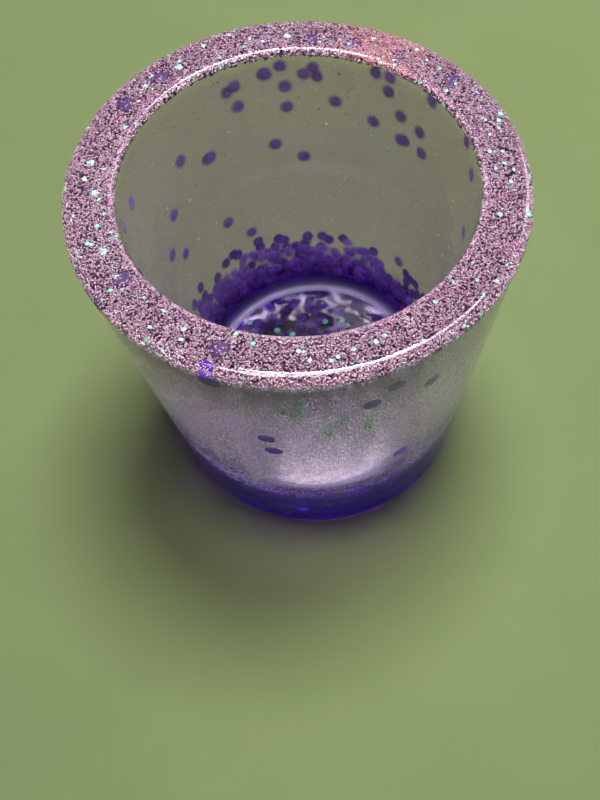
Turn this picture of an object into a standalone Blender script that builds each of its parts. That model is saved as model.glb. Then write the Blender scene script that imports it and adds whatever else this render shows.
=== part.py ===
"""Small cast-resin glitter cup.

A tapered round cup with a thick wall, cast in three pours: a purple base pour
with the cavity floor in it, a clear shimmer wall pour, and a densely
glittered rim layer.  Large glitter pieces are separate solids: round purple
dots and small green hexagonal flakes, each lying in a shallow open pocket
just under a surface of the casting.

Frame: metres, +Z up, origin at the centre of the flat underside.
"""

import math

import bpy
from mathutils import Matrix, Vector

MM = 0.001

# ---- cup ------------------------------------------------------------------
HEIGHT = 46.0 * MM
RIM_RADIUS = 25.0 * MM          # outside, at the rim
BASE_RADIUS = 19.5 * MM         # outside, at the underside
MOUTH_RADIUS = 19.5 * MM        # inside, at the rim
FLOOR_RADIUS = 14.8 * MM        # inside, at the cavity floor
CAVITY_DEPTH = 38.5 * MM
RIM_OUTER_FILLET = 1.2 * MM
RIM_INNER_FILLET = 0.5 * MM
BASE_EDGE_FILLET = 0.6 * MM
FLOOR_FILLET = 1.5 * MM

# ---- pours ----------------------------------------------------------------
BASE_POUR_TOP = 13.0 * MM       # the purple pour climbs the wall to here
RIM_LAYER_BOTTOM = 44.8 * MM
POUR_GAP = 0.3 * MM

# ---- inclusions -----------------------------------------------------------
DOT_RADIUS = 1.05 * MM
DOT_THICKNESS = 0.25 * MM
DOT_SIDES = 16
FLAKE_RADIUS = 0.55 * MM        # across corners, halved
FLAKE_THICKNESS = 0.25 * MM
COVER = 0.20 * MM               # how far an inclusion lies under the surface
CLEARANCE = 0.3 * MM            # all round an inclusion in its pocket
POCKET_SIDES = 12
STEPS = 64                      # round the cup

FLOOR_Z = HEIGHT - CAVITY_DEPTH
INNER_SLOPE = (MOUTH_RADIUS - FLOOR_RADIUS) / CAVITY_DEPTH
OUTER_SLOPE = (RIM_RADIUS - BASE_RADIUS) / HEIGHT

# Round dots: (turn about Z in degrees, height or radius in mm)
RIM_DOTS = [(131, 22.1), (145, 22.4), (82, 21.5), (69, 21.4), (54, 21.4),
            (36, 22.4), (-149, 21.4), (-114, 22.1)]
INNER_DOTS = [(110, 42.4), (110, 39.6), (98.5, 43.0), (92, 41.0), (85, 42.6),
              (92, 38.1), (74, 39.0), (54, 42.4), (59, 37.4), (48, 39.8),
              (47, 36.5), (39, 39.3), (36.5, 36.6), (98, 32.8), (87, 30.4),
              (125, 34.4), (138, 36.8), (150, 31.4), (125, 23.3), (115, 19.7),
              (160, 27.5), (39, 16.9), (170, 40.6), (184, 42.4), (6, 42.4),
              (-2, 35.7)]
OUTER_DOTS = [(-105, 30.4), (-104, 26.8), (-77, 37.8), (-65, 19.3),
              (-71, 40.5), (-60, 37.0)]

# Green flakes
RIM_FLAKES = [(124.5, 22.0), (168, 22.4), (179, 21.4), (-160, 21.6)]
INNER_FLAKES = [(52, 34.2), (68, 41.4)]
OUTER_FLAKES = [(-94, 40.8), (-88, 32.0), (-84, 35.6), (-99, 38.3)]
FLOOR_FLAKES = [(135, 12.4), (125, 8.6), (115, 6.8), (76, 8.1), (61, 8.9)]


def clear_scene():
    for ob in list(bpy.data.objects):
        bpy.data.objects.remove(ob, do_unlink=True)


def collection(name):
    col = bpy.data.collections.new(name)
    bpy.context.scene.collection.children.link(col)
    return col


def move_to(ob, col):
    for c in list(ob.users_collection):
        c.objects.unlink(ob)
    col.objects.link(ob)


def material(name, colour, roughness, metallic=0.0, alpha=1.0):
    mat = bpy.data.materials.new(name)
    mat.use_nodes = True
    p = mat.node_tree.nodes["Principled BSDF"]
    p.inputs["Base Color"].default_value = (*colour, 1.0)
    p.inputs["Roughness"].default_value = roughness
    p.inputs["Metallic"].default_value = metallic
    p.inputs["Alpha"].default_value = alpha
    return mat


def arc(cx, cz, r, start, end, n):
    """Points on an arc in the XZ plane, angles in degrees from +X."""
    pts = []
    for i in range(n + 1):
        a = math.radians(start + (end - start) * i / n)
        pts.append((cx + r * math.cos(a), cz + r * math.sin(a)))
    return pts


def inner_radius(z):
    return MOUTH_RADIUS - (HEIGHT - z) * INNER_SLOPE


def outer_radius(z):
    return BASE_RADIUS + z * OUTER_SLOPE


def turned(name, profile, closed, mat, col):
    """A profile in the XZ plane, turned about Z with a Screw modifier."""
    n = len(profile)
    edges = [(i, i + 1) for i in range(n - 1)]
    if closed:
        edges.append((n - 1, 0))
    mesh = bpy.data.meshes.new(name)
    mesh.from_pydata([(x, 0.0, z) for x, z in profile], edges, [])
    ob = bpy.data.objects.new(name, mesh)
    col.objects.link(ob)
    mesh.materials.append(mat)
    screw = ob.modifiers.new("turn", "SCREW")
    screw.axis = "Z"
    screw.angle = math.tau
    screw.steps = STEPS
    screw.render_steps = STEPS
    screw.use_merge_vertices = True
    screw.merge_threshold = 0.00001
    screw.use_smooth_shade = True
    return ob


def rim_profile():
    z0, z1 = RIM_LAYER_BOTTOM, HEIGHT
    pts = arc(outer_radius(z1) - RIM_OUTER_FILLET, z1 - RIM_OUTER_FILLET,
              RIM_OUTER_FILLET, 90, -OUTER_SLOPE * 57.3, 5)
    if pts[-1][1] > z0 + 0.02 * MM:
        pts.append((outer_radius(z0), z0))
    pts.append((inner_radius(z0), z0))
    pts += arc(MOUTH_RADIUS + RIM_INNER_FILLET, z1 - RIM_INNER_FILLET,
               RIM_INNER_FILLET, 180, 90, 3)
    return pts


def wall_profile():
    z0, z1 = BASE_POUR_TOP + POUR_GAP, RIM_LAYER_BOTTOM - POUR_GAP
    return [(outer_radius(z1), z1), (outer_radius(z0), z0),
            (inner_radius(z0), z0), (inner_radius(z1), z1)]


def base_profile():
    z1 = BASE_POUR_TOP
    lean = math.degrees(math.atan(INNER_SLOPE))
    cx = inner_radius(FLOOR_Z + FLOOR_FILLET) - FLOOR_FILLET
    pts = [(0.0, FLOOR_Z)]
    pts += arc(cx, FLOOR_Z + FLOOR_FILLET, FLOOR_FILLET, -90, -lean, 4)
    pts.append((inner_radius(z1), z1))
    pts.append((outer_radius(z1), z1))
    pts += arc(outer_radius(BASE_EDGE_FILLET) - BASE_EDGE_FILLET,
               BASE_EDGE_FILLET, BASE_EDGE_FILLET, -OUTER_SLOPE * 57.3, -90, 3)
    pts.append((0.0, 0.0))
    return pts


def seat(kind, turn, where):
    """Point on a surface and its outward normal, for one inclusion."""
    a = math.radians(turn)
    radial = Vector((math.cos(a), math.sin(a), 0.0))
    up = Vector((0.0, 0.0, 1.0))
    if kind == "rim":
        return radial * where * MM + up * HEIGHT, up
    if kind == "floor":
        return radial * where * MM + up * FLOOR_Z, up
    z = where * MM
    if kind == "inner":
        normal = (-radial + up * INNER_SLOPE).normalized()
        return radial * inner_radius(z) + up * z, normal
    normal = (radial - up * OUTER_SLOPE).normalized()
    return radial * outer_radius(z) + up * z, normal


def disc(name, point, normal, radius, depth, sides, col):
    """A flat disc whose middle is at point, lying across normal."""
    turn = normal.to_track_quat("Z", "Y").to_euler()
    bpy.ops.mesh.primitive_cylinder_add(
        vertices=sides, radius=radius, depth=depth,
        end_fill_type="NGON", location=point, rotation=turn)
    ob = bpy.context.active_object
    ob.name = name
    ob.data.name = name
    move_to(ob, col)
    return ob


def inclusion(name, kind, turn, where, radius, thickness, sides, mat, col, cut):
    point, normal = seat(kind, turn, where)
    ob = disc(name, point - normal * (COVER + thickness / 2), normal,
              radius, thickness, sides, col)
    ob.data.materials.append(mat)
    # the pocket starts well outside the surface and ends under the piece
    deep = COVER + thickness + CLEARANCE
    out = 1.0 * MM
    cutter = disc("pocket_" + name, point + normal * (out - deep) / 2, normal,
                  radius + CLEARANCE, deep + out, POCKET_SIDES, cut)
    cutter.display_type = "WIRE"
    cutter.hide_render = True
    return ob


def cut_by(ob, cutters, name):
    mod = ob.modifiers.new(name, "BOOLEAN")
    mod.operation = "DIFFERENCE"
    mod.solver = "EXACT"
    mod.operand_type = "COLLECTION"
    mod.collection = cutters


def main():
    clear_scene()
    cup = collection("resin_glitter_cup")
    rim_cut = collection("rim_pockets")
    wall_cut = collection("wall_pockets")
    base_cut = collection("floor_pockets")

    clear = material("shimmer_resin", (0.62, 0.60, 0.62), 0.12, alpha=0.45)
    rim_mat = material("rim_glitter", (0.62, 0.45, 0.58), 0.18)
    base_mat = material("purple_resin", (0.09, 0.04, 0.30), 0.12)
    dot_mat = material("purple_dot", (0.13, 0.05, 0.42), 0.30, metallic=0.4)
    flake_mat = material("green_flake", (0.05, 0.55, 0.38), 0.20, metallic=0.8)

    base = turned("base_pour", base_profile(), False, base_mat, cup)
    wall = turned("wall_pour", wall_profile(), True, clear, cup)
    rim = turned("rim_layer", rim_profile(), True, rim_mat, cup)

    n = 0
    for kind, spots, cut in (("rim", RIM_DOTS, rim_cut),
                             ("inner", INNER_DOTS, wall_cut),
                             ("outer", OUTER_DOTS, wall_cut)):
        for turn, where in spots:
            n += 1
            inclusion("purple_dot_%02d" % n, kind, turn, where, DOT_RADIUS,
                      DOT_THICKNESS, DOT_SIDES, dot_mat, cup, cut)
    n = 0
    for kind, spots, cut in (("rim", RIM_FLAKES, rim_cut),
                             ("inner", INNER_FLAKES, wall_cut),
                             ("outer", OUTER_FLAKES, wall_cut),
                             ("floor", FLOOR_FLAKES, base_cut)):
        for turn, where in spots:
            n += 1
            inclusion("green_flake_%02d" % n, kind, turn, where, FLAKE_RADIUS,
                      FLAKE_THICKNESS, 6, flake_mat, cup, cut)

    cut_by(rim, rim_cut, "pockets")
    cut_by(wall, wall_cut, "pockets")
    cut_by(base, base_cut, "pockets")


main()
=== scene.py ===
import math

import bpy
import numpy as np
from mathutils import Matrix, Vector


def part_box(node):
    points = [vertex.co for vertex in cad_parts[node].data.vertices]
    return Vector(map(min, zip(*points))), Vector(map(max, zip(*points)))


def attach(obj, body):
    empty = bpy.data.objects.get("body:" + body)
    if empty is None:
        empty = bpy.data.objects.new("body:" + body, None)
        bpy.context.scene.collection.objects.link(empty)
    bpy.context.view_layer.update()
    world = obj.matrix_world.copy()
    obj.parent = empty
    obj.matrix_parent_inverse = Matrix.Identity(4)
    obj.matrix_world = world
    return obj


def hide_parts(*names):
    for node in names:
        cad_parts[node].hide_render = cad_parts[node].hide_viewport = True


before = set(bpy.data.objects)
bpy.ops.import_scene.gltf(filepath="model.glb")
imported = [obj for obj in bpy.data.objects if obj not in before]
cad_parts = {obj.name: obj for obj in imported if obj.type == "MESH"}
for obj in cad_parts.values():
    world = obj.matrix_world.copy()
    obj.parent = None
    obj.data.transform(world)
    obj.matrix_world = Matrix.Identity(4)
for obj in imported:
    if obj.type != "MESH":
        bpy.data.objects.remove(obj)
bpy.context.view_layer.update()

MM = 0.001
rng = np.random.default_rng(20261)

# ---------------------------------------------------------------- dimensions
# all in millimetres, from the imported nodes
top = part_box("rim_layer")[1]
H = round(float(top[2]) / MM, 2)                 # 46
R_RIM = 25.0
R_BASE = 19.5
R_MOUTH = 19.5
R_FLOOR = 14.8
DEPTH = 38.5
FLOOR = H - DEPTH                                # 7.5
LAYER = 44.8                                     # underside of the rim layer
IN_SLOPE = (R_MOUTH - R_FLOOR) / DEPTH
OUT_SLOPE = (R_RIM - R_BASE) / H


def r_in(z):
    return R_MOUTH - (H - z) * IN_SLOPE


def r_out(z):
    return R_BASE + z * OUT_SLOPE


# -------------------------------------------------------------- node helpers
def new_material(name):
    mat = bpy.data.materials.new(name)
    mat.use_nodes = True
    nt = mat.node_tree
    return mat, nt, nt.nodes["Principled BSDF"]


def node(nt, kind, **sockets):
    n = nt.nodes.new(kind)
    for k, v in sockets.items():
        n.inputs[k.replace("_", " ")].default_value = v
    return n


def ramp(nt, fac, stops, interpolation="LINEAR"):
    r = nt.nodes.new("ShaderNodeValToRGB")
    r.color_ramp.interpolation = interpolation
    els = r.color_ramp.elements
    while len(els) < len(stops):
        els.new(0.5)
    for e, (p, c) in zip(els, stops):
        e.position = p
        e.color = (*c, 1.0)
    nt.links.new(fac, r.inputs["Fac"])
    return r.outputs["Color"]


def remap(nt, fac, low, high, a=0.0, b=1.0):
    m = nt.nodes.new("ShaderNodeMapRange")
    m.inputs["From Min"].default_value = a
    m.inputs["From Max"].default_value = b
    m.inputs["To Min"].default_value = low
    m.inputs["To Max"].default_value = high
    nt.links.new(fac, m.inputs["Value"])
    return m.outputs["Result"]


def maths(nt, operation, a, b):
    m = nt.nodes.new("ShaderNodeMath")
    m.operation = operation
    for i, v in enumerate((a, b)):
        if isinstance(v, (int, float)):
            m.inputs[i].default_value = v
        else:
            nt.links.new(v, m.inputs[i])
    return m.outputs[0]


def place(nt):
    return nt.nodes.new("ShaderNodeTexCoord").outputs["Object"]


# ------------------------------------------------------------- mesh builders
def mesh_object(name, verts, faces, mat, smooth=False):
    me = bpy.data.meshes.new(name)
    me.from_pydata([tuple(v) for v in verts], [], faces)
    me.materials.append(mat)
    me.update()
    if smooth:
        me.shade_smooth()
    ob = bpy.data.objects.new(name, me)
    bpy.context.scene.collection.objects.link(ob)
    return ob


def fast_mesh(name, verts, loops, sizes, mat):
    """A mesh from flat arrays, for many thousands of small closed flakes."""
    me = bpy.data.meshes.new(name)
    me.vertices.add(len(verts))
    me.vertices.foreach_set("co", np.asarray(verts, np.float32).ravel())
    me.loops.add(len(loops))
    me.loops.foreach_set("vertex_index", np.asarray(loops, np.int32))
    starts = np.concatenate([[0], np.cumsum(sizes)[:-1]])
    me.polygons.add(len(sizes))
    me.polygons.foreach_set("loop_start", np.asarray(starts, np.int32))
    me.polygons.foreach_set("loop_total", np.asarray(sizes, np.int32))
    me.materials.append(mat)
    me.update(calc_edges=True)
    me.validate()
    ob = bpy.data.objects.new(name, me)
    bpy.context.scene.collection.objects.link(ob)
    return ob


def frames(normals, spin):
    """Two unit vectors across each normal, turned by spin."""
    n = normals / np.linalg.norm(normals, axis=1, keepdims=True)
    helper = np.where(np.abs(n[:, 2:3]) < 0.9, [[0.0, 0.0, 1.0]], [[1.0, 0.0, 0.0]])
    u = np.cross(helper, n)
    u /= np.linalg.norm(u, axis=1, keepdims=True)
    v = np.cross(n, u)
    c, s = np.cos(spin)[:, None], np.sin(spin)[:, None]
    return u * c + v * s, v * c - u * s, n


def shards(name, centres, normals, radius, mat, fold=0.16):
    """Fine glitter: each flake is a closed, thin four-cornered sliver, folded
    a little along one diagonal (4 triangles)."""
    k = len(centres)
    u, v, n = frames(normals, rng.uniform(0, math.tau, k))
    r = np.broadcast_to(np.asarray(radius, float), (k,))[:, None]
    a = centres + u * r + n * r * fold
    b = centres + v * r - n * r * fold
    c = centres - u * r + n * r * fold
    d = centres - v * r - n * r * fold
    verts = np.stack([a, b, c, d], 1).reshape(-1, 3) * MM
    base = (np.arange(k) * 4)[:, None]
    tri = np.array([0, 1, 2, 0, 2, 3, 1, 0, 3, 3, 2, 1])
    loops = (base + tri[None]).ravel()
    return fast_mesh(name, verts, loops, np.full(k * 4, 3), mat)


def plates(name, centres, normals, radius, thick, sides, mat, bevel=True):
    """Flat closed plates, hexagonal flakes or round dots, each with a centre
    point so that the "edge" attribute runs from 0 there to 1 at the rim."""
    k = len(centres)
    u, v, n = frames(normals, rng.uniform(0, math.tau, k))
    r = np.broadcast_to(np.asarray(radius, float), (k,))[:, None]
    t = np.broadcast_to(np.asarray(thick, float), (k,))[:, None]
    ang = np.arange(sides) * math.tau / sides
    steps = ((0.90, 0.5), (1.0, 0.22), (1.0, -0.22), (0.90, -0.5)) if bevel else ((1.0, 0.5), (1.0, -0.5))
    cols, edge = [(centres + n * t * 0.5)[:, None]], [0.0]
    for rr, h in steps:
        cols.append(np.stack([centres + u * r * rr * math.cos(a)
                              + v * r * rr * math.sin(a) + n * t * h for a in ang], 1))
        edge += [rr] * sides
    cols.append((centres - n * t * 0.5)[:, None])
    edge.append(0.0)
    verts = np.concatenate(cols, 1).reshape(-1, 3) * MM
    per = len(edge)
    last = 1 + (len(steps) - 1) * sides
    loops, sizes = [], []
    for i in range(sides):
        j = (i + 1) % sides
        loops += [0, 1 + i, 1 + j]; sizes.append(3)
        for q in range(len(steps) - 1):
            p = 1 + q * sides
            loops += [p + i, p + sides + i, p + sides + j, p + j]
            sizes.append(4)
        loops += [per - 1, last + j, last + i]; sizes.append(3)
    loops = (np.arange(k)[:, None] * per + np.array(loops)[None]).ravel()
    ob = fast_mesh(name, verts, loops, np.tile(sizes, k), mat)
    att = ob.data.attributes.new("edge", "FLOAT", "POINT")
    att.data.foreach_set("value", np.tile(np.array(edge, np.float32), k))
    return ob


def lathe(name, profile, steps, mat):
    """A closed turned body from a profile that starts and ends on the axis."""
    verts, faces = [], []
    ring = []
    for r, z in profile:
        if r < 1e-6:
            ring.append([len(verts)])
            verts.append((0.0, 0.0, z * MM))
        else:
            ids = []
            for i in range(steps):
                a = math.tau * i / steps
                ids.append(len(verts))
                verts.append((r * math.cos(a) * MM, r * math.sin(a) * MM, z * MM))
            ring.append(ids)
    for a, b in zip(ring, ring[1:]):
        for i in range(steps):
            j = (i + 1) % steps
            if len(a) == 1:
                faces.append((a[0], b[i], b[j]))
            elif len(b) == 1:
                faces.append((a[i], b[0], a[j]))
            else:
                faces.append((a[i], b[i], b[j], a[j]))
    return mesh_object(name, verts, faces, mat, smooth=True)


def arc(cx, cz, r, start, end, n):
    return [(cx + r * math.cos(math.radians(start + (end - start) * i / n)),
             cz + r * math.sin(math.radians(start + (end - start) * i / n)))
            for i in range(n + 1)]


# ------------------------------------------------------------------ resin
def resin_material():
    mat, nt, p = new_material("clear_shimmer_resin")
    obj = place(nt)
    sep = nt.nodes.new("ShaderNodeSeparateXYZ")
    nt.links.new(obj, sep.inputs[0])
    flat = nt.nodes.new("ShaderNodeCombineXYZ")
    nt.links.new(sep.outputs["X"], flat.inputs["X"])
    nt.links.new(sep.outputs["Y"], flat.inputs["Y"])
    radius = nt.nodes.new("ShaderNodeVectorMath"); radius.operation = "LENGTH"
    nt.links.new(flat.outputs[0], radius.inputs[0])
    cloud = node(nt, "ShaderNodeTexNoise", Scale=260.0, Detail=3.0, Roughness=0.55)
    nt.links.new(obj, cloud.inputs["Vector"])
    # violet pooled round the foot, a dark greyish lavender under the cavity, and a faint
    # lilac tint in the wall, with a soft uneven edge; the dark lavender under the cavity is partly the
    # base pour's own tint and partly painted shade for the floor beneath the cup
    wob = nt.nodes.new("ShaderNodeMath"); wob.operation = "MULTIPLY_ADD"
    nt.links.new(cloud.outputs["Fac"], wob.inputs[0])
    wob.inputs[1].default_value = 0.003
    nt.links.new(sep.outputs["Z"], wob.inputs[2])
    by_z = remap(nt, wob.outputs[0], 0.0, 1.0, 0.0098, 0.0128)
    by_r = remap(nt, radius.outputs["Value"], 0.5, 0.0, 0.0120, 0.0158)
    both = nt.nodes.new("ShaderNodeMath"); both.operation = "MAXIMUM"
    nt.links.new(by_z, both.inputs[0])
    nt.links.new(by_r, both.inputs[1])
    col = ramp(nt, both.outputs[0], [(0.0, (0.06, 0.0, 0.80)), (0.25, (0.21, 0.07, 0.56)),
                                     (0.5, (0.34, 0.28, 0.42)), (1.0, (0.73, 0.61, 0.78))])
    high = remap(nt, sep.outputs["Z"], 0.0, 1.0, 0.0, 0.046)
    clear = ramp(nt, high, [(0.0, (0.0, 0.0, 0.0)), (0.955, (0.0, 0.0, 0.0)),
                            (0.985, (1.0, 1.0, 1.0))])
    mix = nt.nodes.new("ShaderNodeMix"); mix.data_type = "RGBA"; mix.blend_type = "ADD"
    mix.inputs["Factor"].default_value = 1.0
    dim = nt.nodes.new("ShaderNodeVectorMath"); dim.operation = "MULTIPLY"
    nt.links.new(clear, dim.inputs[0])
    dim.inputs[1].default_value = (0.23, 0.31, 0.17)
    nt.links.new(col, mix.inputs[6])
    nt.links.new(dim.outputs[0], mix.inputs[7])
    nt.links.new(mix.outputs[2], p.inputs["Base Color"])
    fine = node(nt, "ShaderNodeTexNoise", Scale=420.0, Detail=1.0)
    nt.links.new(obj, fine.inputs["Vector"])
    silk = ramp(nt, high, [(0.0, (0.07, 0.07, 0.07)), (0.95, (0.07, 0.07, 0.07)),
                           (0.972, (0.012, 0.012, 0.012))])
    # the small radius round the cavity floor is left satin by the mould
    near_axis = maths(nt, "MULTIPLY", maths(nt, "LESS_THAN", radius.outputs["Value"], 0.0153),
                      maths(nt, "GREATER_THAN", radius.outputs["Value"], 0.0132))
    satin = maths(nt, "MULTIPLY", near_axis,
                  ramp(nt, high, [(0.156, (0, 0, 0)), (0.159, (0.42, 0.42, 0.42)),
                                  (0.184, (0.42, 0.42, 0.42)), (0.196, (0, 0, 0))]))
    rough = maths(nt, "ADD", maths(nt, "MULTIPLY", silk, remap(nt, fine.outputs["Fac"], 0.8, 1.4)), satin)
    nt.links.new(rough, p.inputs["Roughness"])
    # a slight milkiness in the wall only: the rim and the base are clear
    haze = ramp(nt, high,
                [(0.0, (1, 1, 1)), (0.24, (0.99, 0.99, 0.99)), (0.32, (0.89, 0.89, 0.89)),
                 (0.93, (0.89, 0.89, 0.89)), (0.972, (1, 1, 1))])
    # and the dye is dense in the foot's outer skin
    foot = maths(nt, "MULTIPLY", remap(nt, radius.outputs["Value"], 0.0, 0.30, 0.0170, 0.0188),
                 remap(nt, wob.outputs[0], 1.0, 0.0, 0.0080, 0.0116))
    nt.links.new(maths(nt, "SUBTRACT", haze, foot), p.inputs["Transmission Weight"])
    p.inputs["IOR"].default_value = 1.55
    # polished cavity floor, and a duller foot
    shine = maths(nt, "MULTIPLY", maths(nt, "LESS_THAN", radius.outputs["Value"], 0.0134),
                  ramp(nt, high, [(0.152, (0, 0, 0)), (0.158, (1, 1, 1)),
                                  (0.1645, (1, 1, 1)), (0.167, (0, 0, 0))]))
    level = maths(nt, "ADD", maths(nt, "MULTIPLY", shine, 2.7), 0.9)
    nt.links.new(maths(nt, "SUBTRACT", level, maths(nt, "MULTIPLY", foot, 2.2)),
                 p.inputs["Specular IOR Level"])
    # lamps reach the glitter inside: the resin lets shadow rays through
    out = nt.nodes["Material Output"]
    through = nt.nodes.new("ShaderNodeBsdfTransparent")
    nt.links.new(ramp(nt, high, [(0.0, (0.12, 0.09, 0.30)), (0.18, (0.22, 0.19, 0.38)),
                                 (0.30, (0.44, 0.42, 0.48)), (0.95, (0.48, 0.46, 0.50)),
                                 (0.975, (0.97, 0.97, 0.97))]), through.inputs["Color"])
    path = nt.nodes.new("ShaderNodeLightPath")
    mixs = nt.nodes.new("ShaderNodeMixShader")
    nt.links.new(path.outputs["Is Shadow Ray"], mixs.inputs[0])
    nt.links.new(p.outputs[0], mixs.inputs[1])
    nt.links.new(through.outputs[0], mixs.inputs[2])
    nt.links.new(mixs.outputs[0], out.inputs["Surface"])
    return mat


lean = math.degrees(math.atan(IN_SLOPE))
draft = math.degrees(math.atan(OUT_SLOPE))
cx = r_in(FLOOR + 1.5) - 1.5
rim_line = ([(r_in(z), z) for z in (44.9, 45.2)]
            + arc(R_MOUTH + 0.5, H - 0.5, 0.5, 180 - lean, 90, 8)
            + [(20.05, H), (21.0, H), (22.4, H), (23.75, H)]
            + arc(R_RIM - 1.2, H - 1.2, 1.2, 90, -draft, 20))
profile = [(0.0, FLOOR), (4.0, FLOOR), (8.0, FLOOR), (11.5, FLOOR), (cx - 0.05, FLOOR)]
profile += arc(cx, FLOOR + 1.5, 1.5, -90, -lean, 8)
for z in np.linspace(11, 43, 10):
    profile.append((r_in(z), z))
profile += rim_line
# the fine witness line that the mould leaves under the rounded rim
profile += [(r_out(44.40), 44.40), (r_out(44.40) + 0.012, 44.398), (r_out(44.40) + 0.075, 44.385),
            (r_out(44.40) + 0.087, 44.370), (r_out(44.1) + 0.07, 44.1), (r_out(43.0) + 0.02, 43.0)]
for z in np.linspace(42, 2, 10):
    profile.append((r_out(z), z))
profile += arc(r_out(0.6) - 0.6, 0.6, 0.6, -draft, -90, 6)
profile += [(14.0, 0.0), (7.0, 0.0), (0.0, 0.0)]
body = lathe("resin_cup", profile, 192, resin_material())


# ---------------------------------------------------------------- glitter
def glitter_material(name, stops, scale, roughness, metallic):
    mat, nt, p = new_material(name)
    obj = place(nt)
    cell = node(nt, "ShaderNodeTexVoronoi", Scale=scale)
    nt.links.new(obj, cell.inputs["Vector"])
    sep = nt.nodes.new("ShaderNodeSeparateColor")
    nt.links.new(cell.outputs["Color"], sep.inputs[0])
    nt.links.new(ramp(nt, sep.outputs[0], stops), p.inputs["Base Color"])
    nt.links.new(remap(nt, sep.outputs[1], *roughness), p.inputs["Roughness"])
    p.inputs["Metallic"].default_value = metallic
    return mat


def ring_points(k, z0, z1, margin=0.15):
    """Anywhere in the wall between two heights."""
    z = rng.uniform(z0, z1, k)
    a = rng.uniform(0, math.tau, k)
    lo = r_in(z) + margin
    hi = r_out(z) - margin
    r = np.sqrt(rng.uniform(lo ** 2, hi ** 2))
    return np.stack([r * np.cos(a), r * np.sin(a), z], 1)


def rim_points(k, shallow, deep):
    """Just under the rim's surface: over both rounded edges and the flat.
    shallow and deep are shares of the glitter layer, which is thin at the
    mouth and thick at the outside."""
    line = np.array(rim_line[1:])
    seg = np.diff(line, axis=0)
    length = np.linalg.norm(seg, axis=1)
    weight = length * (line[:-1, 0] + line[1:, 0])
    which = rng.choice(len(seg), k, p=weight / weight.sum())
    t = rng.uniform(0, 1, k)[:, None]
    q = line[which] + seg[which] * t
    d = seg[which] / length[which][:, None]
    inward = np.stack([d[:, 1], -d[:, 0]], 1)       # to the right of the way out
    thick = 0.35 + np.clip((q[:, 0] - R_MOUTH) / 5.5, 0, 1) * 0.75
    under = 0.17 + thick * rng.uniform(shallow, deep, k)
    q = q + inward * under[:, None]
    a = rng.uniform(0, math.tau, k)
    ca, sa = np.cos(a), np.sin(a)
    pts = np.stack([q[:, 0] * ca, q[:, 0] * sa, q[:, 1]], 1)
    nrm = np.stack([-inward[:, 0] * ca, -inward[:, 0] * sa, -inward[:, 1]], 1)
    return pts, nrm


def polar(turn, r, z):
    a = math.radians(turn)
    return np.array([r * math.cos(a), r * math.sin(a), z])


def any_way(k):
    n = rng.normal(size=(k, 3))
    return n / np.linalg.norm(n, axis=1, keepdims=True)


def tilt(normals, share):
    return normals * (1 - share) + any_way(len(normals)) * share


pale = glitter_material("pale_pink_glitter",
                        [(0.0, (0.80, 0.48, 0.65)), (0.45, (0.82, 0.62, 0.73)),
                         (0.8, (0.80, 0.74, 0.80)), (1.0, (0.72, 0.39, 0.57))],
                        2600.0, (0.18, 0.38), 0.12)
rose = glitter_material("rose_glitter",
                        [(0.0, (0.58, 0.24, 0.44)), (0.5, (0.34, 0.13, 0.34)),
                         (1.0, (0.70, 0.36, 0.54))], 2600.0, (0.2, 0.4), 0.2)
# dark violet flakes for the rim layer's gaps: painted shade, standing in for the shade between and under
# the pale glitter
shade_flake_mat = glitter_material("painted_shade_violet_glitter",
                        [(0.0, (0.075, 0.026, 0.085)), (0.6, (0.11, 0.038, 0.12)),
                         (1.0, (0.20, 0.08, 0.19))], 1500.0, (0.3, 0.5), 0.1)
# warm pink-orange flakes: a painted reflection of a warm thing out of view, seen on the far rim
warm_reflection_mat = glitter_material("painted_reflection_salmon_glitter",
                          [(0.0, (0.85, 0.36, 0.38)), (0.6, (0.95, 0.52, 0.50)),
                           (1.0, (0.60, 0.22, 0.30))], 2600.0, (0.2, 0.4), 0.15)

pieces = []
k = 25000
p, n = rim_points(k, 0.0, 0.35)
pieces.append((shards("rim_glitter_pale", p, tilt(n, 0.32),
                      rng.uniform(0.095, 0.15, k), pale), "rim_glitter"))
k = 2600
p, n = rim_points(k, 0.0, 0.001)
p = p + n * rng.uniform(0.03, 0.06, k)[:, None]
bare = np.array([polar(131, 22.1, 46.0), polar(145, 22.4, 46.0)])
away = np.min(np.linalg.norm(p[:, None] - bare[None], axis=2), 1) > 1.2
p, n = p[away], n[away]
k = len(p)
pieces.append((shards("rim_glitter_top", p, tilt(n, 0.12),
                      rng.uniform(0.09, 0.14, k), pale, 0.08), "rim_glitter"))
k = 15000
p, n = rim_points(k, 0.05, 0.5)
pieces.append((shards("rim_glitter_rose", p, tilt(n, 0.45),
                      rng.uniform(0.09, 0.15, k), rose), "rim_glitter"))
# deeper rim flakes in dark violet: painted shade, filling the gaps between the pale flakes as the shade
# there
k = 14000
p, n = rim_points(k, 0.5, 1.0)
pieces.append((shards("rim_painted_shade_flakes", p, tilt(n, 0.25),
                      rng.uniform(0.25, 0.40, k), shade_flake_mat), "rim_glitter"))
# warm pink-orange glitter on the far side of the rim: a painted reflection of a warm thing out of view
p, n = rim_points(26000, 0.0, 0.2)
turn = np.degrees(np.arctan2(p[:, 1], p[:, 0]))
keep = rng.uniform(0, 1, len(p)) < 0.95 * np.exp(-((turn - 60) / 12.0) ** 2)
p, n = p[keep], n[keep]
pieces.append((shards("rim_painted_reflection_salmon", p, tilt(n, 0.3),
                      rng.uniform(0.11, 0.17, len(p)), warm_reflection_mat), "rim_glitter"))

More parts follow.
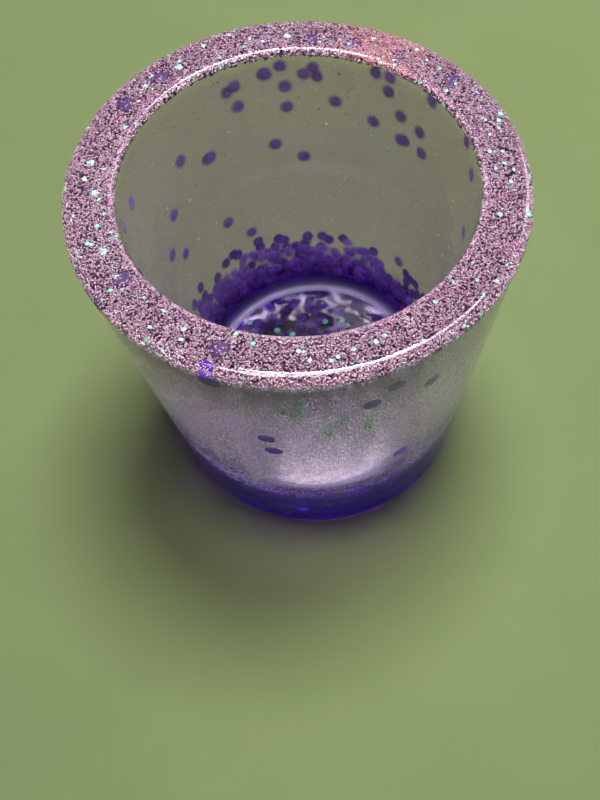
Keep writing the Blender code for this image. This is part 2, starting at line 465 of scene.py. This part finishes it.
shimmer = glitter_material("wall_shimmer_flakes",
                           [(0.0, (0.86, 0.76, 0.90)), (0.35, (0.74, 0.72, 0.92)),
                            (0.6, (0.94, 0.84, 0.90)), (0.85, (0.72, 0.88, 0.84)),
                            (1.0, (0.92, 0.90, 0.94))], 2000.0, (0.2, 0.4), 0.15)


def skin_points(z, turn, inner, near, far):
    """In the wall, near its inner or outer face."""
    a = np.radians(turn)
    d = rng.uniform(near, far, len(z))
    r = r_in(z) + d if inner else r_out(z) - d
    ca, sa = np.cos(a), np.sin(a)
    s = -1.0 if inner else 1.0
    return (np.stack([r * ca, r * sa, z], 1),
            np.stack([s * ca, s * sa, np.full(len(z), -s * 0.12)], 1))


def lift(normals, share):
    """Turn flakes from facing out of the wall towards facing up."""
    return normals * (1 - share) + np.array([0.0, 0.0, 1.0]) * share


def around(k, front):
    """Turns about the axis: the given share on the front half."""
    return np.where(rng.uniform(0, 1, k) < front,
                    rng.uniform(-178, -2, k), rng.uniform(-2, 182, k))


def sparse(p, n):
    """Fewer flakes low on the front, where the cavity floor shows through."""
    turn = np.degrees(np.arctan2(p[:, 1], p[:, 0]))
    ragged = rng.normal(size=len(p))
    low = ((turn > -110 + 2 * ragged) & (turn < -60 + 2 * ragged) &
           (p[:, 2] < 24.0 + 1.2 * ragged))
    keep = ~low | (rng.uniform(0, 1, len(p)) < 0.22)
    return p[keep], n[keep]


# the outer shimmer sits almost all on the front half: painted light, making the front wall brighter and
# grainier than the back
k = 40000
z = rng.uniform(10.5, 44.4, k)
p, n = sparse(*skin_points(z, around(k, 0.965), False, 0.15, 1.6))
k = len(p)
pieces.append((shards("wall_shimmer_outer", p, tilt(lift(n, 0.62), 0.36),
                      rng.uniform(0.055, 0.115, k), shimmer), "shimmer_resin"))
# extra shimmer on the front half only: more painted light on the front wall
k = 27000
z = 44.4 - 32.0 * rng.uniform(0, 1, k) ** 0.9
p, n = sparse(*skin_points(z, rng.uniform(-176, -4, k), False, 0.15, 1.3))
k = len(p)
pieces.append((shards("wall_shimmer_front_painted_light", p, tilt(lift(n, 0.66), 0.36),
                      rng.uniform(0.06, 0.12, k), shimmer), "shimmer_resin"))
# paler flakes in streaks down the front wall: painted light, standing in for the rim glitter seen bent
# through the wall
LIGHT_STREAKS = [(-111.0, 1.3, 700), (-104.5, 1.0, 1100), (-101.0, 1.2, 900), (-96.0, 0.9, 600),
           (-88.0, 1.6, 500), (-80.0, 1.2, 500), (-70.0, 1.4, 600), (-66.0, 0.8, 500),
           (-97.0, 7.0, 3400), (-79.0, 7.0, 3400)]
turn = np.concatenate([q[0] + q[1] * rng.normal(size=q[2]) for q in LIGHT_STREAKS])
k = len(turn)
z = 19.0 + 24.5 * rng.uniform(0, 1, k) ** 0.85
p, n = skin_points(z, turn, False, 0.15, 0.8)
pieces.append((shards("wall_painted_refraction_streaks", p, tilt(lift(n, 0.72), 0.3),
                      rng.uniform(0.055, 0.11, k), shimmer), "shimmer_resin"))
# sparks against the foot's outer face
k = 620
z = 0.9 + 8.5 * rng.uniform(0, 1, k) ** 1.6
p, n = skin_points(z, rng.uniform(-180, 180, k), False, 0.10, 0.25)
pieces.append((shards("foot_sparks", p, tilt(n, 0.5),
                      rng.uniform(0.06, 0.12, k), shimmer), "purple_resin"))
k = 9000
z = rng.uniform(10.0, 44.6, k)
p, n = skin_points(z, rng.uniform(-180, 180, k), True, 0.12, 2.5)
pieces.append((shards("wall_shimmer_inner", p, tilt(lift(n, 0.3), 0.5),
                      rng.uniform(0.035, 0.06, k), shimmer), "shimmer_resin"))
# sparse holographic sparks high on the inner face
spark = glitter_material("holographic_sparks",
                         [(0.0, (0.35, 0.45, 1.0)), (0.25, (0.70, 0.45, 1.0)),
                          (0.5, (0.95, 0.90, 0.55)), (0.75, (0.60, 0.95, 0.80)),
                          (1.0, (0.98, 0.95, 1.0))], 900.0, (0.15, 0.3), 0.2)
k = 520
z = 45.0 - np.minimum(rng.exponential(7.0, k), 30.0)
p, n = skin_points(z, rng.uniform(-180, 180, k), True, 0.12, 0.6)
pieces.append((shards("wall_sparks", p, tilt(lift(n, 0.7), 0.35),
                      rng.uniform(0.10, 0.16, k), spark), "shimmer_resin"))
# pink glitter that thins out down the outer face below the rim
k = 15000
z = 44.6 - np.minimum(rng.exponential(5.5, k), 26.0)
turn = np.where(rng.uniform(0, 1, k) < 0.5, rng.normal(-140, 20, k), rng.uniform(-186, 6, k))
p, n = skin_points(z, turn, False, 0.16, 0.9)
pieces.append((shards("wall_glitter_pink", p, tilt(lift(n, 0.45), 0.4),
                      rng.uniform(0.07, 0.14, k), pale), "shimmer_resin"))


# ------------------------------------------------------------ purple dots
def dot_material(name, stops, alpha):
    mat, nt, p = new_material(name)
    obj = place(nt)
    sep = nt.nodes.new("ShaderNodeSeparateXYZ")
    nt.links.new(obj, sep.inputs[0])
    fine = node(nt, "ShaderNodeTexNoise", Scale=700.0, Detail=2.0)
    nt.links.new(obj, fine.inputs["Vector"])
    wob = nt.nodes.new("ShaderNodeMath"); wob.operation = "MULTIPLY_ADD"
    nt.links.new(fine.outputs["Fac"], wob.inputs[0])
    wob.inputs[1].default_value = 0.002
    nt.links.new(sep.outputs["Z"], wob.inputs[2])
    high = remap(nt, wob.outputs[0], 0.0, 1.0, 0.001, 0.047)
    nt.links.new(ramp(nt, high, stops), p.inputs["Base Color"])
    nt.links.new(remap(nt, fine.outputs["Fac"], 0.45, 0.65), p.inputs["Roughness"])
    p.inputs["Specular IOR Level"].default_value = 0.12
    # dyed through at the middle, thinner towards the edge
    edge = nt.nodes.new("ShaderNodeAttribute"); edge.attribute_name = "edge"
    nt.links.new(ramp(nt, edge.outputs["Fac"], alpha), p.inputs["Alpha"])
    return mat


def grey(*pairs):
    return [(a, (b, b, b)) for a, b in pairs]


# the dot colour turns dark close under the rim: painted shade under the rim glitter
purple = dot_material("purple_dot_film",
                      [(0.0, (0.20, 0.08, 0.52)), (0.95, (0.24, 0.11, 0.58)), (1.0, (0.10, 0.04, 0.26))],
                      grey((0.0, 0.88), (0.35, 0.78), (0.7, 0.46), (0.95, 0.05), (1.0, 0.0)))
bright = dot_material("violet_dot_film",
                      [(0.0, (0.14, 0.02, 0.78)), (1.0, (0.13, 0.02, 0.72))],
                      grey((0.0, 0.96), (0.6, 0.92), (1.0, 0.45)))
deep_violet = dot_material("deep_violet_dot_film",
                           [(0.0, (0.10, 0.01, 0.62)), (1.0, (0.09, 0.01, 0.55))],
                           grey((0.0, 0.98), (0.7, 0.96), (1.0, 0.6)))
footed = dot_material("foot_dot_film",
                      [(0.0, (0.08, 0.005, 0.34)), (0.2, (0.11, 0.01, 0.44)), (1.0, (0.20, 0.06, 0.55))],
                      grey((0.0, 0.90), (0.5, 0.82), (0.85, 0.55), (1.0, 0.10)))
# near-black indigo for dots at the rim: painted shade, the dots sitting in shade under the glitter
shade_dark_rim_dot_mat = dot_material("painted_shade_indigo_dot_film",
                      [(0.0, (0.036, 0.013, 0.085)), (1.0, (0.042, 0.015, 0.080))],
                      grey((0.0, 0.97), (0.7, 0.93), (1.0, 0.5)))
heaped = dot_material("purple_heap_film",
                      [(0.0, (0.16, 0.03, 0.60)), (0.12, (0.05, 0.018, 0.13)),
                       (0.16, (0.22, 0.08, 0.62)), (1.0, (0.42, 0.20, 0.76))],
                      grey((0.0, 0.74), (0.40, 0.64), (0.75, 0.30), (1.0, 0.0)))
RIM_DOTS = [(131, 22.1), (145, 22.4), (82, 21.5), (69, 21.4), (54, 21.4),
            (36, 22.4), (-149, 21.4), (-114, 22.1)]
INNER_DOTS = [(110, 42.4), (110, 39.6), (98.5, 43.0), (92, 41.0), (85, 42.6),
              (92, 38.1), (74, 39.0), (54, 42.4), (59, 37.4), (48, 39.8),
              (47, 36.5), (39, 39.3), (36.5, 36.6), (98, 32.8), (87, 30.4),
              (125, 34.4), (138, 36.8), (150, 31.4), (125, 23.3), (115, 19.7),
              (160, 27.5), (39, 16.9), (170, 40.6), (184, 42.4), (6, 42.4),
              (-2, 35.7)]
OUTER_DOTS = [(-105, 30.4), (-104, 26.8), (-77, 37.8), (-65, 19.3),
              (-71, 40.5), (-60, 37.0)]
COVER, DOT_R, DOT_T = 0.20, 1.05, 0.25


def wall_spot(turn, z, inner, under):
    a = math.radians(turn)
    rad = np.array([math.cos(a), math.sin(a), 0.0])
    if inner:
        n = -rad + np.array([0, 0, IN_SLOPE])
        p = rad * r_in(z) + np.array([0, 0, z])
    else:
        n = rad - np.array([0, 0, OUT_SLOPE])
        p = rad * r_out(z) + np.array([0, 0, z])
    n = n / np.linalg.norm(n)
    return p - n * under, n


UP = np.array([0.0, 0.0, 1.0])
# the rim dots take the near-black indigo: painted shade
pts = [polar(turn, r, H - COVER - DOT_T / 2) for turn, r in RIM_DOTS]
rim_dots = plates("purple_dots_rim", np.array(pts), np.array([UP] * len(pts)),
                  DOT_R, DOT_T, 28, shade_dark_rim_dot_mat)
pts, nrm = [], []
for turn, z in INNER_DOTS:
    p, n = wall_spot(turn, z, True, COVER + DOT_T / 2)
    pts.append(p); nrm.append(n)
dots = plates("purple_dots", np.array(pts), np.array(nrm), DOT_R, DOT_T, 28, purple)
pts, nrm = [], []
for turn, z in OUTER_DOTS:
    p, n = wall_spot(turn, z, False, COVER + DOT_T / 2)
    pts.append(p); nrm.append(n)
outer_dots = plates("purple_dots_outer", np.array(pts), np.array(nrm), DOT_R, DOT_T, 28, bright)

# more dots, deeper in the wall or close under the rounded edges
pts, nrm = [], []
for turn, z, under in [(82, 42.9, 1.6), (99, 42.4, 2.0), (81, 41.2, 3.0), (93, 43.5, 1.2),
                       (54, 44.3, 0.45), (36, 44.4, 0.45), (15, 44.4, 0.45),
                       (112, 41.0, 2.6), (46, 36.3, 1.3), (126, 34.0, 1.2), (60, 43.8, 1.4),
                       (150, 24.0, 2.0)]:
    p, n = wall_spot(turn, z, True, under)
    pts.append(p); nrm.append(n)
for turn, z in [(150, 12.0), (-170, 22.0), (-140, 35.0), (-35, 30.0), (-20, 20.0),
                (-128, 18.0), (-150, 16.5), (-45, 16.0)]:
    p, n = wall_spot(turn, z, False, 0.8)
    pts.append(p); nrm.append(n)
extra = plates("purple_dots_deep", np.array(pts), np.array(nrm), 1.02, 0.10, 24, purple)
# the edge dots take the same near-black indigo: painted shade
pts, nrm = [], []
for turn in (-150, -81, -75, -61, -50):
    pts.append(polar(turn, 24.15, 45.15)); nrm.append(polar(turn, 0.75, 0.6))
for turn, r, z in [(-149, 20.3, 45.5), (-156, 21.6, 45.45), (-147, 24.0, 45.3),
                   (178, 23.0, 45.4), (-165, 21.0, 45.4), (100, 22.6, 45.35)]:
    pts.append(polar(turn, r, z)); nrm.append(UP + rng.normal(size=3) * 0.2)
edge_dots = plates("purple_dots_edge", np.array(pts), np.array(nrm), 1.02, 0.10, 24, shade_dark_rim_dot_mat)
# one large dot that the rounded edge magnifies
p, n = wall_spot(-114.8, 43.65, False, 0.14)
edge_big = plates("purple_dot_large", np.array([p, polar(-115.3, 24.36, 45.28)]),
                  np.array([n + UP * 0.08, polar(-115.3, 0.72, 0.70)]), np.array([1.20, 0.80]),
                  0.10, 32, deep_violet)

# dots lying against the foot's outer face, with an uneven top line
FOOT_TOP = [(-180, 14.0), (-150, 14.0), (-128, 12.0), (-110, 10.3), (-85, 9.6), (-62, 10.4),
            (-45, 12.5), (-30, 13.5), (0, 13.0), (60, 13.0), (120, 15.0), (180, 14.0)]
fa = np.array([q[0] for q in FOOT_TOP], float)
fz = np.array([q[1] for q in FOOT_TOP], float)
pts, nrm = [], []
tries = 0
while len(pts) < 300 and tries < 20000:
    tries += 1
    turn = rng.uniform(-180, 180)
    z = 1.7 + (np.interp(turn, fa, fz) - 1.7) * rng.uniform(0, 1) ** 0.75
    p, n = wall_spot(turn, z, False, rng.uniform(0.30, 0.75))
    if pts and np.min(np.sum((np.array(pts) - p) ** 2, 1)) < 1.1:
        continue
    pts.append(p); nrm.append(n + rng.normal(size=3) * 0.05)
foot_dots = plates("purple_dots_foot", np.array(pts), np.array(nrm), 0.97, 0.08, 20, footed)

# the heap that has settled in the base pour
TOP_OF_HEAP = [(-180, 13.5), (-140, 11.0), (-110, 8.6), (-60, 8.6), (-30, 10.5), (0, 12.4),
               (23, 13.2), (39, 12.6), (53, 15.4), (67, 17.0), (77, 14.8), (92, 14.6),
               (109, 17.0), (120, 17.2), (130, 16.0), (135, 15.2), (150, 14.6),
               (158, 14.8), (180, 13.5)]
ha = np.array([q[0] for q in TOP_OF_HEAP], float)
hz = np.array([q[1] for q in TOP_OF_HEAP], float)
pts, nrm = [], []
tries = 0
while len(pts) < 900 and tries < 110000:
    tries += 1
    turn = rng.uniform(-180, 180)
    z = 1.6 + (np.interp(turn, ha, hz) - 1.6) * rng.uniform(0, 1) ** 0.72
    depth = 0.25 + (r_out(z) - r_in(z) - 0.75) * rng.uniform(0, 1) ** 1.3
    if z > np.interp(turn, ha, hz) - 0.8 * depth:
        continue
    p, n = wall_spot(turn, z, True, depth)
    if p[2] < 1.35 or (pts and np.min(np.sum((np.array(pts) - p) ** 2, 1)) < 0.85):
        continue
    n = n + rng.normal(size=3) * 0.14
    pts.append(p); nrm.append(n)
wall_heap = len(pts)
while len(pts) < wall_heap + 330 and tries < 150000:
    tries += 1
    r = (R_FLOOR - 0.4) * rng.uniform(0, 1) ** 0.36
    p = polar(rng.uniform(0, 360), r, rng.uniform(1.2, FLOOR - 0.45))
    if np.min(np.sum((np.array(pts) - p) ** 2, 1)) < 0.70:
        continue
    pts.append(p)
    nrm.append(UP + rng.normal(size=3) * 0.2)
heap = plates("purple_dot_heap", np.array(pts), np.array(nrm), 0.96, 0.08, 16, heaped, False)

# pink and violet sparkle low in the base pour's outer face
k = 1500
p, n = skin_points(rng.uniform(0.8, 3.4, k), rng.uniform(-180, 180, k), False, 0.15, 0.9)
base_spark = shards("base_sparkle", p, tilt(lift(n, 0.4), 0.4), rng.uniform(0.06, 0.12, k), rose)
pieces.append((base_spark, "purple_resin"))


# ------------------------------------------------------------ green flakes
leaf = glitter_material("leaf_holographic_film",
                        [(0.0, (0.12, 0.95, 0.45)), (0.35, (0.25, 0.96, 0.66)),
                         (0.6, (0.12, 0.90, 0.32)), (0.8, (0.60, 0.95, 0.25)),
                         (1.0, (0.25, 0.92, 0.78))], 500.0, (0.3, 0.5), 0.0)
mint = glitter_material("mint_holographic_film",
                        [(0.0, (0.16, 0.66, 0.44)), (0.35, (0.34, 0.76, 0.62)),
                         (0.6, (0.12, 0.58, 0.30)), (0.8, (0.40, 0.70, 0.66)),
                         (1.0, (0.20, 0.62, 0.66))], 500.0, (0.35, 0.5), 0.0)
RIM_FLAKES = [(124.5, 22.0), (168, 22.4), (179, 21.4), (-160, 21.6)]
INNER_FLAKES = [(52, 34.2), (68, 41.4)]
OUTER_FLAKES = [(-94, 40.8), (-88, 32.0), (-84, 35.6), (-99, 38.3)]
FLOOR_FLAKES = [(135, 12.4), (125, 8.6), (115, 6.8), (76, 8.1), (61, 8.9)]
pts = [polar(turn, r, H - 0.3) for turn, r in RIM_FLAKES]
rim_flakes = plates("green_flakes_rim", np.array(pts), np.array([UP] * len(pts)), 0.46, 0.10, 6, mint)
pts, nrm = [], []
for turn, z in INNER_FLAKES:
    p, n = wall_spot(turn, z, True, 0.32); pts.append(p); nrm.append(n + UP * 0.7)
for turn, z in OUTER_FLAKES:
    p, n = wall_spot(turn, z, False, 0.36); pts.append(p); nrm.append(n + UP * 1.3)
size = [0.24] * len(INNER_FLAKES) + [0.30] * len(OUTER_FLAKES) + [0.46] * len(FLOOR_FLAKES)
for turn, r in FLOOR_FLAKES:
    pts.append(polar(turn, r, FLOOR - 0.32)); nrm.append(UP)
flakes = plates("green_flakes", np.array(pts, float), np.array(nrm, float),
                np.array(size), 0.10, 6, leaf)

pts, nrm = [], []
for turn, r in [(170, 20.8), (174, 22.6), (-173, 20.5), (-174, 23.6), (-169, 21.4),
                (-164, 22.8), (142, 21.4), (112, 20.6), (101, 22.3), (90, 22.0),
                (-146, 22.2), (-133, 20.9), (-125, 21.6), (-74, 21.8), (-86, 22.7),
                (-80, 21.9), (-94, 21.3), (-54, 20.9), (-37, 20.9), (-18, 21.5),
                (-2, 22.9), (16, 23.4), (28, 23.4), (34, 22.3), (12, 21.6), (5, 22.2)]:
    pts.append(polar(turn, r, H - 0.22)); nrm.append(UP + rng.normal(size=3) * 0.15)
q, m = rim_points(90, 0.02, 0.15)
pts += list(q); nrm += list(tilt(m, 0.3))
small_rim = plates("green_flakes_rim_small", np.array(pts, float), np.array(nrm, float),
                   rng.uniform(0.17, 0.29, len(pts)), 0.06, 6, mint)
pts, nrm = [], []
for turn, r in [(87, 12.6), (81, 11.3), (105, 9.8), (91, 9.3), (54, 8.7), (41, 9.5)]:
    pts.append(polar(turn, r, FLOOR - 0.6)); nrm.append(UP + rng.normal(size=3) * 0.15)
q = ring_points(34, 20.0, 43.5, 0.4)
pts += list(q); nrm += list(tilt(np.array([UP] * 34), 0.3))
small = plates("green_flakes_small", np.array(pts, float), np.array(nrm, float),
               rng.uniform(0.16, 0.26, len(pts)), 0.06, 6, leaf)

# drifts of green holographic dust in the front of the wall
DRIFTS = [(-94.4, 40.6, 150), (-95.5, 37.5, 110), (-88.0, 32.5, 120), (-84.0, 35.2, 140),
          (-77.3, 32.2, 120), (-98.7, 38.9, 70), (-114.3, 14.9, 90), (-125.5, 18.0, 80)]
pts = []
for turn, z, count in DRIFTS:
    t = rng.normal(turn, 1.1, count)
    zz = np.minimum(rng.normal(z, 1.2, count), 43.8)
    d = rng.uniform(0.2, 0.9, count)
    a = np.radians(t)
    pts.append(np.stack([(r_out(zz) - d) * np.cos(a), (r_out(zz) - d) * np.sin(a), zz], 1))
pts = np.concatenate(pts)
out = np.stack([pts[:, 0], pts[:, 1], np.zeros(len(pts))], 1)
out /= np.linalg.norm(out, axis=1, keepdims=True)
drift = shards("green_glitter_drifts", pts, tilt(lift(out, 0.8), 0.25),
               rng.uniform(0.10, 0.18, len(pts)), leaf)

# -------------------------------------------------------------- riding
for ob, slot in [(body, "shimmer_resin"), (dots, "purple_dot"), (extra, "purple_dot"),
                 (rim_dots, "purple_dot"), (outer_dots, "purple_dot"),
                 (edge_dots, "purple_dot"), (edge_big, "purple_dot"),
                 (foot_dots, "purple_dot"),
                 (heap, "purple_dot"), (flakes, "green_flake"), (rim_flakes, "green_flake"),
                 (small, "green_flake"), (small_rim, "green_flake"),
                 (drift, "green_flake")] + pieces:
    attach(ob, "root")
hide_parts("base_pour", "wall_pour", "rim_layer")
first, last = len(RIM_DOTS), len(RIM_DOTS) + len(INNER_DOTS)
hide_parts(*["purple_dot_%02d" % i for i in range(1, first + 1)])
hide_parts(*["purple_dot_%02d" % i for i in range(first + 1, last + 1)])
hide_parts(*["purple_dot_%02d" % i for i in range(last + 1, last + len(OUTER_DOTS) + 1)])
in_rim = ["green_flake_%02d" % i for i in range(1, len(RIM_FLAKES) + 1)]
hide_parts(*in_rim)
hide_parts(*[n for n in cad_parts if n.startswith("green_flake_") and n not in in_rim])

# --------------------------------------------------------------- stage
mat, nt, p = new_material("sage_backdrop")
noise = node(nt, "ShaderNodeTexNoise", Scale=60.0, Detail=4.0)
nt.links.new(place(nt), noise.inputs["Vector"])
nt.links.new(ramp(nt, noise.outputs["Fac"], [(0.3, (0.220, 0.286, 0.120)), (0.7, (0.234, 0.302, 0.130))]),
             p.inputs["Base Color"])
p.inputs["Roughness"].default_value = 0.85
p.inputs["Specular IOR Level"].default_value = 0.06
s = 1.2
floor = mesh_object("backdrop", [(-s, -s, -0.0001), (s, -s, -0.0001), (s, s, -0.0001), (-s, s, -0.0001)],
                    [(0, 1, 2, 3)], mat)

# --------------------------------------------------------------- camera
cam = bpy.data.objects.new("camera", bpy.data.cameras.new("camera"))
bpy.context.scene.collection.objects.link(cam)
right = Vector((0.99409528, -0.107951, 0.01100726))
up = Vector((0.08902864, 0.86940094, 0.48602049))
fwd = Vector((0.06203612, 0.48217071, -0.8738781))
m = Matrix.Identity(4)
for i, axis in enumerate((right, up, -fwd)):
    for j in range(3):
        m[j][i] = axis[j]
m.translation = Vector((0.0, -0.07433594, 0.12926690))
cam.matrix_world = m
cam.data.sensor_width = 36.0
cam.data.lens = 1028.41 * 36.0 / 800.0
cam.data.shift_x = -(383.54 - 300.0) / 800.0
cam.data.shift_y = (408.30 - 400.0) / 800.0
cam.data.clip_start = 0.005
bpy.context.scene.camera = cam


# --------------------------------------------------------------- lights
def area(name, where, aim, size, power, colour=(1, 1, 1), size_y=None):
    data = bpy.data.lights.new(name, "AREA")
    data.shape = "RECTANGLE" if size_y else "DISK"
    data.size = size
    if size_y:
        data.size_y = size_y
    data.energy = power
    data.color = colour
    ob = bpy.data.objects.new(name, data)
    bpy.context.scene.collection.objects.link(ob)
    ob.location = where
    ob.rotation_euler = (Vector(aim) - Vector(where)).to_track_quat("-Z", "Y").to_euler()
    return ob


strip = area("overhead", (0.02, 0.045, 0.50), (0.02, 0.045, 0.0), 0.46, 2.5, (1.0, 0.98, 0.96), 0.16)
strip.rotation_euler = (0.0, 0.0, math.radians(39.0))
strip.visible_diffuse = False
key = area("key", (0.06, 0.10, 0.50), (0, 0, 0.03), 0.20, 2.75, (1.0, 0.98, 0.96))
key.visible_glossy = False
# a lamp behind that shows only as a reflection in the cavity floor
sheen = area("sheen", (0.015, 0.192, 0.501), (0, 0, 0.03), 0.145, 5.4, (1.0, 0.95, 0.95), 0.052)
sheen.visible_diffuse = False
area("window", (0.50, 0.38, 0.42), (0, 0, 0.03), 0.30, 1.0, (1.0, 0.99, 0.97))
fill = area("front_fill", (0.32, -0.46, 0.30), (0, 0, 0.02), 0.30, 0.3, (0.98, 0.98, 1.0))
fill.visible_glossy = False

world = bpy.data.worlds.new("soft")
bpy.context.scene.world = world
world.use_nodes = True
bg = world.node_tree.nodes["Background"]
bg.inputs["Color"].default_value = (0.86, 0.88, 0.92, 1.0)
bg.inputs["Strength"].default_value = 0.06
bpy.context.scene.view_settings.view_transform = "Standard"
